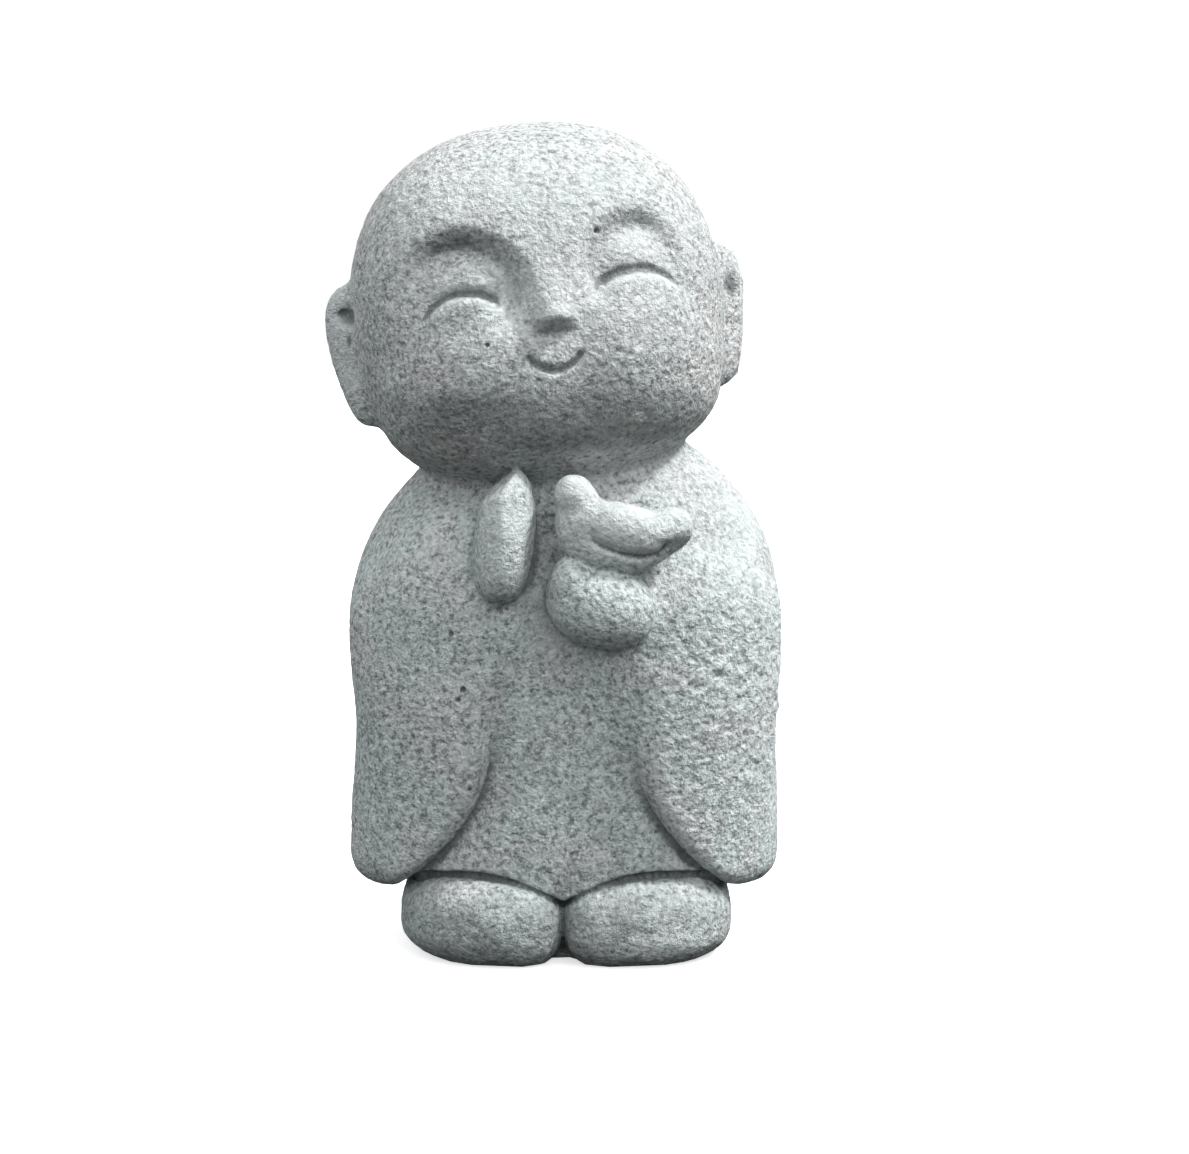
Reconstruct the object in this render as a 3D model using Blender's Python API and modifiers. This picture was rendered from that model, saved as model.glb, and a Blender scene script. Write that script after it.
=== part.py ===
"""A small standing jizo, a child monk with a bird in its hands, carved from one block of grey granite.

One closed solid in metres, +Z up. The figure faces -Y, stands on z = 0, and the origin is the middle
of its flat underside. The work goes as a mason's does: rounded blocks are roughed out and fused, the
rough stone is carved back to one form, surplus faces are dressed away and the underside is sawn flat.
"""

import math

import bmesh
import bpy
import numpy as np
from mathutils import Euler, Matrix, Vector

# ---------------------------------------------------------------- driving sizes
HEIGHT = 0.400  # underside to crown
MM = HEIGHT / 400  # every size below is in millimetres at that height
NAME = "jizo_statue"

ROUGH_GRAIN = 1.4 * MM  # side of the grid that fuses the rough blocks
CARVING_PASSES, LAST_PASSES = 6, 2  # the last ones no longer even the mesh out
LONGEST_STEP = 4.0
MOST_TRIANGLES = 9600

# Robe: a dome of shoulders on a straight, slightly waisted skirt
ROBE_HALF_WIDTH = 105.6
ROBE_HALF_DEPTH = 62.0
SHOULDER_LINE = 160.0
SHOULDER_RISE = 101.5
SHOULDER_LEAN = 0.035  # the figure's left shoulder is carried a little higher
WAIST_HEIGHT, WAIST_REACH = 112.0, 36.0
WAIST_PULLS = (0.036, 0.017)  # on the figure's right and on its left

# Hem: an arch over each foot, meeting in a point between them
HEM_ARCH_TOP = 44.5
HEM_ARCH_REACH = 45.0  # from the middle to the top of an arch
HEM_POINT = 30.5
HEM_OUTER_FALL = 0.0030
HEM_BACK = 42.0
HEM_ROUND, HEM_CORNER_ROUND = 3.0, 22.0

# Sleeves: their front edges hang from the wrists and sweep out to the hem's corners
SLEEVE_DIP = 7.0
SLEEVE_EDGE = 34.0
SLEEVE_SWEEP = 39.0
SLEEVE_SWEEP_TOP, SLEEVE_SWEEP_FOOT = 110.0, 40.0
SLEEVE_PROUD = 9.0
SLEEVE_FADE = 120.0, 185.0  # heights between which the edge dies into the robe
SLEEVE_ROUND = 14.0  # width over which the edge rolls up to its full height
SLEEVE_CREASE = (3.6, 2.0)  # half width and depth of the cut that the edge rises from

# Feet
FOOT_SPREAD = 40.3
FOOT_RADII = (41.5, 60.0, 30.0)
FOOT_DROP = 27.0
FOOT_SQUARENESS = (5.0, 2.6)  # nearly square in plan, so that only a narrow cleft parts them
FOOT_FORWARD = -14.0

# Head: its own frame, tilted to the figure's right, turned to its left and bowed a little
HEAD_CENTRE = (-13.0, -4.0, 310.3)
HEAD_TILT, HEAD_TURN = math.radians(6.5), math.radians(7.0)
HEAD_RADII = (89.7, 77.0, 89.0)


def frame(origin, turn=(0.0, 0.0, 0.0), parent=None):
    """Origin in mm and turn about X, Y and Z in radians, as a matrix in metres, inside its parent's."""
    own = Matrix.Translation(Vector(origin) * MM) @ Euler(turn).to_matrix().to_4x4()
    return parent @ own if parent else own


HEAD = frame(HEAD_CENTRE) @ Matrix.Rotation(-HEAD_TILT, 4, "Y") @ Matrix.Rotation(HEAD_TURN, 4, "Z")


# ---------------------------------------------------------------- measuring
def local(points, place):
    """The points in the axes of a frame, in millimetres."""
    axes = np.array(place.to_3x3())
    return (points - np.array(place.translation)) @ axes / MM


def smooth_step(value, start, end):
    """0 before start and 1 after end, with no kink between."""
    t = np.clip((value - start) / (end - start), 0.0, 1.0)
    return t * t * (3.0 - 2.0 * t)


def join(first, second, blend):
    """The two solids as one, with a fillet about half as wide as blend between them."""
    near = np.clip(blend - np.abs(first - second), 0.0, None) / blend
    return np.minimum(first, second) - near * near * blend / 4.0


def cut(solid, tool, blend):
    """The solid less the tool, with the edge between them softened."""
    return -join(-solid, tool, blend)


def groove(offset, cut_size):
    """A rounded chisel cut of that half width and depth."""
    half_width, depth = cut_size
    return depth * np.exp(-((offset / half_width) ** 2))


class Mass:
    """A rounded mass of stone about a centre.

    Its plan is |x/a|^n + |y/b|^n = 1, and it closes above and below as plan^m + |z/c|^m = 1.
    drop is c below the centre, where that differs; a drop of math.inf goes straight down.
    """

    def __init__(self, centre, radii, turn=(0, 0, 0), power=(2.0, 2.0), parent=None, drop=None):
        degrees = [math.radians(angle) for angle in turn]
        self.place = frame(centre, degrees, parent)
        self.radii = radii
        self.power = power
        self.drop = radii[2] if drop is None else drop

    def distance(self, points):
        """Distance from the surface in mm, negative inside: (k - 1) over the slope of k."""
        return self.distance_at(local(points, self.place))

    def distance_at(self, q):
        a, b, c = self.radii
        n, m = self.power
        tiny = 1e-6
        x, y = np.abs(q[:, 0]) / a + tiny, np.abs(q[:, 1]) / b + tiny
        rise = np.where(q[:, 2] > 0.0, c, self.drop)
        z = np.abs(q[:, 2]) / rise + tiny
        plan = (x**n + y**n) ** (1.0 / n)
        k = (plan**m + z**m) ** (1.0 / m)
        sideways = k ** (1.0 - m) * plan ** (m - n)
        slope = np.sqrt(
            (sideways * x ** (n - 1.0) / a) ** 2
            + (sideways * y ** (n - 1.0) / b) ** 2
            + (k ** (1.0 - m) * z ** (m - 1.0) / rise) ** 2
        )
        return (k - 1.0) / slope


# ---------------------------------------------------------------- robe and feet
ROBE = Mass(
    (0, 0, SHOULDER_LINE),
    (ROBE_HALF_WIDTH, ROBE_HALF_DEPTH, SHOULDER_RISE),
    power=(2.4, 2.0),
    drop=math.inf,
)
FOREARMS = [
    Mass((-62, -42, 163), (38, 15, 24), turn=(0, 0, -26), drop=75),
    Mass((62, -43, 160), (42, 17, 28), turn=(0, 0, 26), drop=90),
]
WRISTS = [
    Mass((-50, -48, 183), (28, 13, 28), turn=(0, 0, -16), drop=50),
    Mass((50, -50, 170), (28, 14, 20), turn=(0, 0, 14), drop=60),
]
FEET = [
    Mass((side * FOOT_SPREAD, FOOT_FORWARD, 18), FOOT_RADII, power=FOOT_SQUARENESS, drop=FOOT_DROP)
    for side in (-1, 1)
]
FEET_OUTLINE = Mass((2.5, FOOT_FORWARD, 18), (83, 63, 34), power=(2.8, 2.6), drop=FOOT_DROP)
BETWEEN_FEET = Mass((0, FOOT_FORWARD + 6, 17), (70, 45, 27), power=(3.0, 2.6))


def hem_height(x, y):
    """Height of the hem at each x: two arches that meet in a point, with the sleeves lower outside them."""
    off = np.abs(x) - HEM_ARCH_REACH
    inner = (HEM_ARCH_TOP - HEM_POINT) / HEM_ARCH_REACH**2
    arches = HEM_ARCH_TOP - np.where(off < 0.0, inner, HEM_OUTER_FALL) * off**2
    in_front = smooth_step(-y, -20.0, 20.0)
    sleeves = SLEEVE_DIP * smooth_step(np.abs(x), 66.0, 82.0)
    return HEM_BACK + (arches - HEM_BACK) * in_front - sleeves


def sleeve_relief(x, y, z):
    """How far a sleeve stands proud of the robe: a quarter round behind its front edge."""
    sweep = np.clip((SLEEVE_SWEEP_TOP - z) / (SLEEVE_SWEEP_TOP - SLEEVE_SWEEP_FOOT), 0.0, None) ** 2.15
    behind = np.abs(x) - (SLEEVE_EDGE + SLEEVE_SWEEP * sweep)
    soft = smooth_step(z, 95.0, 160.0)
    roll = 1.0 - np.clip(behind / (SLEEVE_ROUND * (1.0 + 2.0 * soft)), 0.0, 1.0)
    height = SLEEVE_PROUD * (1.0 - smooth_step(z, *SLEEVE_FADE))
    crease = groove(behind + 2.0, SLEEVE_CREASE) * (1.0 - soft) * smooth_step(z, 44.0, 62.0)
    return (height * (1.0 - roll**2) ** (0.5 + soft) - crease) * smooth_step(-y, -25.0, 30.0)


def robe(points):
    x, y, z = (points / MM).T
    q = local(points, ROBE.place)
    pull = np.where(x < 0.0, *WAIST_PULLS)
    q[:, 0] *= 1.0 + pull * np.exp(-(((z - WAIST_HEIGHT) / WAIST_REACH) ** 2))
    q[:, 1] += sleeve_relief(x, y, z)
    q[:, 2] = np.maximum(q[:, 2] - SHOULDER_LEAN * x, 0.0)
    cloth = ROBE.distance_at(q)
    for bulge in (*FOREARMS, *WRISTS):
        cloth = join(cloth, bulge.distance(points), 18.0)
    rounding = HEM_ROUND + (HEM_CORNER_ROUND - HEM_ROUND) * smooth_step(np.abs(x), 62.0, 100.0)
    return cut(cloth, z - hem_height(x, y), rounding)


def feet(points):
    """Two blocks side by side on a common stump, rounded off together at their outer corners."""
    left, right = (foot.distance(points) for foot in FEET)
    pair = join(join(left, right, 2.0), BETWEEN_FEET.distance(points), 4.0)
    return cut(pair, -FEET_OUTLINE.distance(points), 4.0)


# ---------------------------------------------------------------- head
SKULL = Mass((0, 0, 0), HEAD_RADII, power=(2.3, 2.28), parent=HEAD)
JOWL = Mass((0, -22, -38), (79, 53, 35), power=(2.4, 2.8), parent=HEAD)
BROWS = (  # across and up to the middle, radius and depth, on the figure's right and on its left
    (37.5, 10.0, 30.0, 6.5),
    (42.5, 13.0, 27.0, 3.6),
)
EYE_MIDDLE, EYE_SLANT = (41.5, 4.6), math.radians(-9.5)
EYE_HALF_LENGTH, EYE_ARCH = 18.6, 8.2
EYE_WALL, EYE_EDGE, EYE_DEPTH, EYE_LIP = 2.6, 1.6, 2.0, 1.6  # the cut is gentle above, steep below
CHEEK_MIDDLE, CHEEK_RADIUS, CHEEK_SWELL = (41.0, -15.0), 27.0, 4.6
NOSE_TOP, NOSE_TIP, NOSE_FOOT = 28.0, -3.5, -10.0
NOSE_HEIGHT, NOSE_BREADTH = 9.2, 9.6
MOUTH_CENTRE, MOUTH_RADIUS = (0.0, -13.8), 13.8
MOUTH_MIDDLE, MOUTH_REACH = math.radians(-93), math.radians(58)
MOUTH_GROOVE, LIP_SWELL = (1.6, 1.7), 1.2
FACE_SHIFT, FACE_SLANT = -1.8, math.radians(1.8)  # the features are set a little askew on the skull


def arc_offset(u, v, centre, radius, middle, reach):
    """Distance in the face's plane from an arc that reaches that angle either side of its middle."""
    du, dv = u - centre[0], v - centre[1]
    angle = np.arctan2(dv, du) - middle
    angle = (angle + math.pi) % (2.0 * math.pi) - math.pi
    held = np.clip(angle, -reach, reach) + middle
    return np.hypot(du - radius * np.cos(held), dv - radius * np.sin(held))


def brow_relief(u, v):
    """Sockets: the stone drops under the arc of the brow and the side of the nose, then eases back."""
    across, up, radius, depth = (np.where(u < 0.0, right, left) for right, left in zip(*BROWS))
    du, dv = np.abs(u) - across, v - up
    inward = radius - np.hypot(du, dv)
    upper = smooth_step(dv, -24.0, 4.0)
    temple = 1.0 - smooth_step(du, 6.0, 32.0)
    floor = smooth_step(inward, -3.0, 8.0) * np.exp(-np.clip(inward - 5.0, 0.0, None) / 14.0)
    return -depth * floor * upper * temple


def eye_relief(side, v):
    """A closed eye's cut, over a cheek that swells right up to it."""
    radius = (EYE_HALF_LENGTH**2 + EYE_ARCH**2) / (2.0 * EYE_ARCH)
    reach = math.asin(EYE_HALF_LENGTH / radius)
    du, dv = side - EYE_MIDDLE[0], v - EYE_MIDDLE[1]
    along = du * math.cos(EYE_SLANT) + dv * math.sin(EYE_SLANT)
    above = dv * math.cos(EYE_SLANT) - du * math.sin(EYE_SLANT)
    sink = EYE_ARCH - radius
    cut_line = arc_offset(along, above, (0.0, sink), radius, math.pi / 2.0, reach)
    half_width = np.where(np.hypot(along, above - sink) > radius, EYE_WALL, EYE_EDGE)
    outer = smooth_step(along, -4.0, EYE_HALF_LENGTH)
    lid = groove(cut_line, (half_width * (1.0 - 0.6 * outer), EYE_DEPTH * (1.0 - 0.5 * outer)))
    below = EYE_ARCH * (1.0 - (along / EYE_HALF_LENGTH) ** 2) - above
    past = 8.0 * smooth_step(np.abs(along), 0.6 * EYE_HALF_LENGTH, 1.5 * EYE_HALF_LENGTH)
    ends = 1.0 - smooth_step(np.abs(along), 0.6 * EYE_HALF_LENGTH, 1.25 * EYE_HALF_LENGTH)
    lip = EYE_LIP * ends * smooth_step(below, 0.0, 2.2) * np.exp(-np.clip(below, 0.0, None) / 9.0)
    from_cheek = np.hypot(side - CHEEK_MIDDLE[0], v - CHEEK_MIDDLE[1]) / CHEEK_RADIUS
    cheek = CHEEK_SWELL * np.exp(-(from_cheek**3)) * smooth_step(below, -1.0 - past, 5.0 + past)
    return cheek + lip - lid


def nose_relief(u, v):
    """A wedge that rises from between the brows and is undercut at its foot."""
    run = np.clip((NOSE_TOP - v) / (NOSE_TOP - NOSE_TIP), 0.0, 1.0)
    foot = np.clip((v - NOSE_FOOT) / (NOSE_TIP - NOSE_FOOT), 0.0, 1.0)
    return NOSE_HEIGHT * run**1.8 * foot * np.exp(-np.abs(u / NOSE_BREADTH) ** 2.6)


def mouth_relief(u, v):
    """One smiling cut across a slight swelling of the lips."""
    cut_line = arc_offset(u, v, MOUTH_CENTRE, MOUTH_RADIUS, MOUTH_MIDDLE, MOUTH_REACH)
    lips = LIP_SWELL * np.exp(-((u / 14.0) ** 2 + ((v + 22.0) / 10.0) ** 2))
    return lips - groove(cut_line, MOUTH_GROOVE)


def face_relief(u, v):
    """Height of the carved face over the smooth skull, over the face's own right-left and up axes."""
    lean, rise = math.sin(FACE_SLANT), math.cos(FACE_SLANT)
    u, v = (u - FACE_SHIFT) * rise + v * lean, v * rise - (u - FACE_SHIFT) * lean
    side = np.abs(u)
    return brow_relief(u, v) + eye_relief(side, v) + nose_relief(u, v) + mouth_relief(u, v)


EAR_HOLES = {-1: ((-93, -12, 7), (5, 5, 6)), 1: ((95, -11, 2), (4, 5, 8))}  # centre and radii


def ear_masses(side):
    """The ear's flap, its hanging lobe and the hole cut into its front, on one side."""
    sweep = side * 25
    flap = Mass((side * 84.2, -4, -9), (18, 9, 32), turn=(0, side * 8, sweep), power=(2.6, 2.6), parent=HEAD)
    lobe = Mass((side * 83.5, -5, -33), (11, 9, 13), turn=(0, side * 6, sweep), power=(2.8, 2.8), parent=HEAD)
    hole = Mass(*EAR_HOLES[side], turn=(0, side * 10, sweep), parent=HEAD)
    return flap, lobe, hole


EARS = {side: ear_masses(side) for side in (-1, 1)}


def head(points):
    q = local(points, HEAD)
    front = smooth_step(-q[:, 1], 10.0, 35.0)
    skull = join(SKULL.distance_at(q), JOWL.distance(points), 12.0)
    skull = skull - face_relief(q[:, 0], q[:, 2]) * front
    for flap, lobe, hole in EARS.values():
        ear = join(flap.distance(points), lobe.distance(points), 6.0)
        skull = cut(join(skull, ear, 5.0), hole.distance(points), 1.5)
    return skull


# ---------------------------------------------------------------- hands and bird
RAISED_HAND = Mass((-25.3, -66, 206.0), (16.4, 21, 32.0), turn=(0, 2, 0), power=(1.8, 2.5))
RAISED_FACETS = (  # a point on each flat and the way it faces: palm's edge, tip, palm and heel
    ((-17.5, -82.5, 206), (0.60, -0.78, 0.16)),
    ((-28, -66, 231.5), (-0.68, -0.10, 0.73)),
    ((-11.5, -80, 206), (0.93, -0.36, 0.05)),
    ((-27, -82, 180), (-0.10, -0.42, -0.90)),
)
CUPPED_HAND = Mass((18, -69, 174.5), (26, 21, 20), turn=(0, 18, 0), power=(2.1, 2.1))
CUPPED_FINGERS = Mass((5, -71, 187), (10, 14, 12), turn=(0, 20, 0))

BIRD_HEAD = Mass((5.5, -74, 227), (9.2, 9.5, 8.8))
BIRD_BREAST = Mass((9, -71, 213), (12, 12, 17))
BIRD_BODY = Mass((25, -71, 205), (25, 14, 16.5))
BIRD_TAIL = Mass((43, -72, 206.5), (19, 11, 11.5), turn=(0, -28, 0), power=(2.3, 2.3))
TAIL_UNDERSIDE = (48, -78, 203), (0.30, -0.62, -0.72)  # a point on the flat and the way it faces
BIRD_WING = Mass((28.5, -79, 211.5), (20, 9, 11), turn=(0, 17, 0), power=(2.0, 2.2))
BIRD_BLEND = 4.0
WING_LINE = (1.6, 1.8)  # half width and depth of the cut under the wing


def beyond(points, place, facing):
    """How far the points lie beyond a flat through a place that faces that way."""
    return (points / MM - np.array(place)) @ np.array(Vector(facing).normalized())


def raised_hand(points):
    """The right hand, held upright like a blade, with flats along its edge, tip, palm and heel."""
    blade = RAISED_HAND.distance(points)
    for facet in RAISED_FACETS:
        blade = cut(blade, -beyond(points, *facet), 1.5)
    return blade


def bird(points):
    tail = cut(BIRD_TAIL.distance(points), -beyond(points, *TAIL_UNDERSIDE), 1.5)
    plumage = join(BIRD_BODY.distance(points), tail, BIRD_BLEND)
    plumage = join(plumage, BIRD_BREAST.distance(points), BIRD_BLEND)
    plumage = join(plumage, BIRD_HEAD.distance(points), BIRD_BLEND)
    wing = BIRD_WING.distance(points)
    along, _, above = local(points, BIRD_WING.place).T
    under = (1.0 - smooth_step(above, -4.0, 2.0)) * smooth_step(along, -17.0, -9.0)
    return join(plumage + groove(wing - 0.6, WING_LINE) * under, wing, 5.0 - 4.4 * under)


def cupped_hand(points):
    return join(CUPPED_HAND.distance(points), CUPPED_FINGERS.distance(points), 4.0)


# ---------------------------------------------------------------- the whole stone
def stone(points):
    """Distance of each point from the finished surface in mm, negative in the stone."""
    solid = join(robe(points), feet(points), 2.5)
    solid = join(solid, head(points), 5.0)
    arms = join(raised_hand(points), cupped_hand(points), 3.0)
    solid = join(solid, arms, 3.5)
    return join(solid, bird(points), 1.5)


ROUGH_BLOCKS = [
    SKULL,
    JOWL,
    *FEET,
    BETWEEN_FEET,
    *FOREARMS,
    *WRISTS,
    *(mass for ear in EARS.values() for mass in ear[:2]),
    RAISED_HAND,
    CUPPED_HAND,
    CUPPED_FINGERS,
    BIRD_HEAD,
    BIRD_BREAST,
    BIRD_BODY,
    BIRD_TAIL,
    BIRD_WING,
]


def rough_out(name, collection):
    """The rough blocks, each a ball scaled to its mass, in one object."""
    shell = bmesh.new()
    for mass in ROUGH_BLOCKS:
        a, b, c = mass.radii
        ball = bmesh.ops.create_icosphere(shell, subdivisions=3, radius=1.0)
        for corner in ball["verts"]:
            x, y, z = corner.co
            corner.co = mass.place @ (Vector((a * x, b * y, (c if z > 0.0 else mass.drop) * z)) * MM)
    robe_size = Matrix.Diagonal((ROBE_HALF_WIDTH * MM, ROBE_HALF_DEPTH * MM, 1.0, 1.0))
    skirt_height = (SHOULDER_LINE - (HEM_ARCH_TOP + HEM_POINT) / 2.0) * MM
    bmesh.ops.create_cone(
        shell,
        cap_ends=True,
        segments=64,
        radius1=1.0,
        radius2=1.0,
        depth=skirt_height,
        matrix=Matrix.Translation((0, 0, SHOULDER_LINE * MM - skirt_height / 2)) @ robe_size,
    )
    dome = Matrix.Diagonal(Vector((*ROBE.radii, 1.0 / MM)) * MM)
    bmesh.ops.create_icosphere(shell, subdivisions=4, radius=1.0, matrix=ROBE.place @ dome)
    mesh = bpy.data.meshes.new(name)
    shell.to_mesh(mesh)
    shell.free()
    block = bpy.data.objects.new(name, mesh)
    collection.objects.link(block)
    return block


def bake_modifiers(block):
    """Replaces the object's mesh by what its modifiers make of it."""
    bpy.context.view_layer.update()
    graph = bpy.context.evaluated_depsgraph_get()
    made = bpy.data.meshes.new_from_object(block.evaluated_get(graph))
    block.modifiers.clear()
    block.data = made


def fuse(block):
    """One skin over the overlapping blocks."""
    remesh = block.modifiers.new("fuse", "REMESH")
    remesh.mode = "VOXEL"
    remesh.voxel_size = ROUGH_GRAIN
    bake_modifiers(block)


def slope_of(points, reach=0.25 * MM):
    """Gradient of the stone's distance, from four points set round each one."""
    corners = np.array(((1, -1, -1), (-1, -1, 1), (-1, 1, -1), (1, 1, 1)), float)
    total = sum(corner * stone(points + corner * reach)[:, None] for corner in corners)
    return total / (4.0 * reach / MM)


def carve(block):
    """Moves every vertex onto the finished form: each pass evens the mesh out, then steps down the slope."""
    mesh = block.data
    points = np.empty(len(mesh.vertices) * 3)
    mesh.vertices.foreach_get("co", points)
    points = points.reshape(-1, 3)
    ends = np.empty(len(mesh.edges) * 2, int)
    mesh.edges.foreach_get("vertices", ends)
    tails, heads = ends.reshape(-1, 2).T
    both, others = np.concatenate([tails, heads]), np.concatenate([heads, tails])
    count = np.bincount(both)[:, None]
    for turn in range(CARVING_PASSES):
        slope = slope_of(points)
        steepness = np.clip((slope**2).sum(1, keepdims=True), 0.05, None)
        step = stone(points)[:, None] * slope / steepness
        longest = np.maximum(np.linalg.norm(step, axis=1, keepdims=True), LONGEST_STEP)
        points = points - step * MM * LONGEST_STEP / longest
        if turn < CARVING_PASSES - LAST_PASSES:
            mean = np.stack([np.bincount(both, points[others, axis]) for axis in range(3)], 1) / count
            drift = mean - points
            points = points + 0.5 * (drift - (drift * slope).sum(1, keepdims=True) * slope / steepness)
    mesh.vertices.foreach_set("co", points.ravel())
    mesh.update()


def dress(block):
    """Spends the faces where the form turns, and saves them where it is plain."""
    decimate = block.modifiers.new("dress", "DECIMATE")
    decimate.ratio = MOST_TRIANGLES / (2 * len(block.data.polygons))
    decimate.use_collapse_triangulate = True
    bake_modifiers(block)


def saw_flat(block):
    """Cuts the underside flat at z = 0 and closes it with one face."""
    form = bmesh.new()
    form.from_mesh(block.data)
    geometry = form.verts[:] + form.edges[:] + form.faces[:]
    bmesh.ops.bisect_plane(
        form, geom=geometry, plane_co=(0, 0, 0), plane_no=(0, 0, 1), clear_inner=True
    )
    rim = [edge for edge in form.edges if edge.is_boundary]
    bmesh.ops.contextual_create(form, geom=rim)
    bmesh.ops.recalc_face_normals(form, faces=form.faces)
    form.to_mesh(block.data)
    form.free()


def granite():
    material = bpy.data.materials.new("granite")
    material.use_nodes = True
    shader = material.node_tree.nodes["Principled BSDF"]
    shader.inputs["Base Color"].default_value = (0.44, 0.46, 0.455, 1.0)
    shader.inputs["Roughness"].default_value = 0.9
    shader.inputs["Metallic"].default_value = 0.0
    return material


def main():
    for old in list(bpy.data.objects):
        bpy.data.objects.remove(old)
    collection = bpy.data.collections.new(NAME)
    bpy.context.scene.collection.children.link(collection)
    block = rough_out(NAME, collection)
    fuse(block)
    carve(block)
    dress(block)
    saw_flat(block)
    block.data.materials.clear()
    block.data.materials.append(granite())
    block.data.shade_smooth()


if __name__ == "__main__":
    main()
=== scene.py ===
"""Looks of the small standing jizo: the granite figure at full detail, its stone and a plain studio.

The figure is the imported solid, made fine, carved again to a more detailed state of its form, and then
bush-hammered: a shallow relief of swellings, grain, lumps and pits. All sizes are in millimetres on a
figure 400 high. It faces -Y, and its own right hand is the raised one.
"""

import math

import bmesh
import bpy
import numpy as np
from mathutils import Euler, Matrix, Vector


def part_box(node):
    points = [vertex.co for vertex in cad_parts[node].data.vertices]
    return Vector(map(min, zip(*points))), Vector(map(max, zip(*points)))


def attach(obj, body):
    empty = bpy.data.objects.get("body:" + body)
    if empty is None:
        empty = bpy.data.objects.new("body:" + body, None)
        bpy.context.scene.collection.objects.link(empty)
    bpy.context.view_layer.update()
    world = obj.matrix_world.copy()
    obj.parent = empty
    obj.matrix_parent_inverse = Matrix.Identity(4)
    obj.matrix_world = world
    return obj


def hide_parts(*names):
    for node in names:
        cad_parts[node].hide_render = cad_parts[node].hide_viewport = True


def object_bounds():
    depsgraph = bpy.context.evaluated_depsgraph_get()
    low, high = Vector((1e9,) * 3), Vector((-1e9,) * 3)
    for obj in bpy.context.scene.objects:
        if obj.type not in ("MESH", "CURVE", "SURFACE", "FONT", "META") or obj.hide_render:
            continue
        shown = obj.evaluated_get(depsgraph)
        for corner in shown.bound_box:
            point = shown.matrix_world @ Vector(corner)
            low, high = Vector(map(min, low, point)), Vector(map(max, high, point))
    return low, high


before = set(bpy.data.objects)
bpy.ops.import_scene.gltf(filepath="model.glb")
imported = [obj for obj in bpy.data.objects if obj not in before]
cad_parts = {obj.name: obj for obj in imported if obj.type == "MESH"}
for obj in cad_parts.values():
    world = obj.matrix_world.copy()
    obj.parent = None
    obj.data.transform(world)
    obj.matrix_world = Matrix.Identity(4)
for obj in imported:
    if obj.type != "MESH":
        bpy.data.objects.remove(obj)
CAD_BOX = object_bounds()

NODE = "jizo_statue"
MM = round(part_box(NODE)[1].z, 3) / 400.0  # the frame's own height, in 400 parts
PIECE = "carved_figure"

# ---------------------------------------------------------------- driving sizes of the mesh
FINE_GRAIN = 0.9  # side of the squares that the skin is made of
MOST_TRIANGLES = 196000
CARVING_PASSES, LAST_PASSES = 3, 1  # the last ones no longer even the mesh out
LONGEST_STEP = 3.0
GENTLEST_SLOPE = 0.05  # the squared slope is taken as no less, so that no step runs away
EVENING = 0.5  # share of the way to its neighbours' mean that a vertex slides in a pass
SLOPE_STEP = 0.1  # how far to the side the form is measured again for its slope
HOLLOW_PASSES = 24  # rounds of neighbours' means that a hollow is measured against
SPARE_LEVELS = 24  # shades of how readily faces are taken away
FRONT_TURN, FOOT_TURN = (-10.0, 35.0), (0.5, 3.0)  # how far forward and how high the front begins
FRONT_KEPT, BUSY_KEPT = 0.82, 0.12  # share of that which the front loses, and what its busy places lose more
GROUND_SNAP = 0.08  # vertices lower than this lie on the ground
REACH = 25.0  # how far from a mass its distance is worked out
FEET_SPACE = (-110, -100, -40), (110, 100, 75)  # lowest and highest corner of what each part reaches
ROBE_SPACE = (-140, -110, 0), (140, 110, 300)
HEAD_SPACE = (-140, -120, 195), (140, 120, 430)
HANDS_SPACE = (-75, -120, 130), (90, -20, 270)

# ---------------------------------------------------------------- driving sizes of the detail
CORNERS = 64  # steps after which a random field repeats
SWELLS = (0.30, 26.0, 1), (0.16, 11.0, 2)  # height, size across and seed of each field of slow swellings
GRAINS = (0.15, 3.8, 3), (0.16, 2.4, 4)  # the same, for the grain that the hammer leaves
COARSE_GRAIN = 0.8  # how much higher that grain stands where the hammering is coarser by 1
LUMPS = (0.22, 5.2, 6)  # the same as a swelling, for the lumps of coarse places
SMALL_PITS = (0.26, 5.2, (0.9, 1.9), 0.40, 5)  # depth, spacing, radii, share of the cells and seed
LARGE_PITS = (0.42, 4.6, (1.3, 2.5), 0.75, 7)
LARGE_PITS_START = 0.3  # how coarse a place is where its large pits begin
GROUND_FADE = 0.0, 3.0  # heights between which the relief grows from the sawn underside
COARSE_PLACES = (  # middle, radii and how much coarser the hammering is there
    ((84, -30, 138), (46, 60, 58), 2.6),
    ((-60, -50, 362), (44, 46, 34), 1.0),
    ((58, -55, 285), (36, 40, 24), 1.3),
    ((78, -40, 62), (34, 50, 30), 0.8),
    ((30, -70, 12), (34, 30, 10), -0.35),
)
BUSY_PLACES = (  # the same, for how many more faces they keep
    ((0, -75, 318), (75, 40, 42), 1.0),
    ((10, -80, 200), (58, 40, 46), 1.0),
    ((84, -30, 130), (46, 60, 66), 1.0),
)
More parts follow.
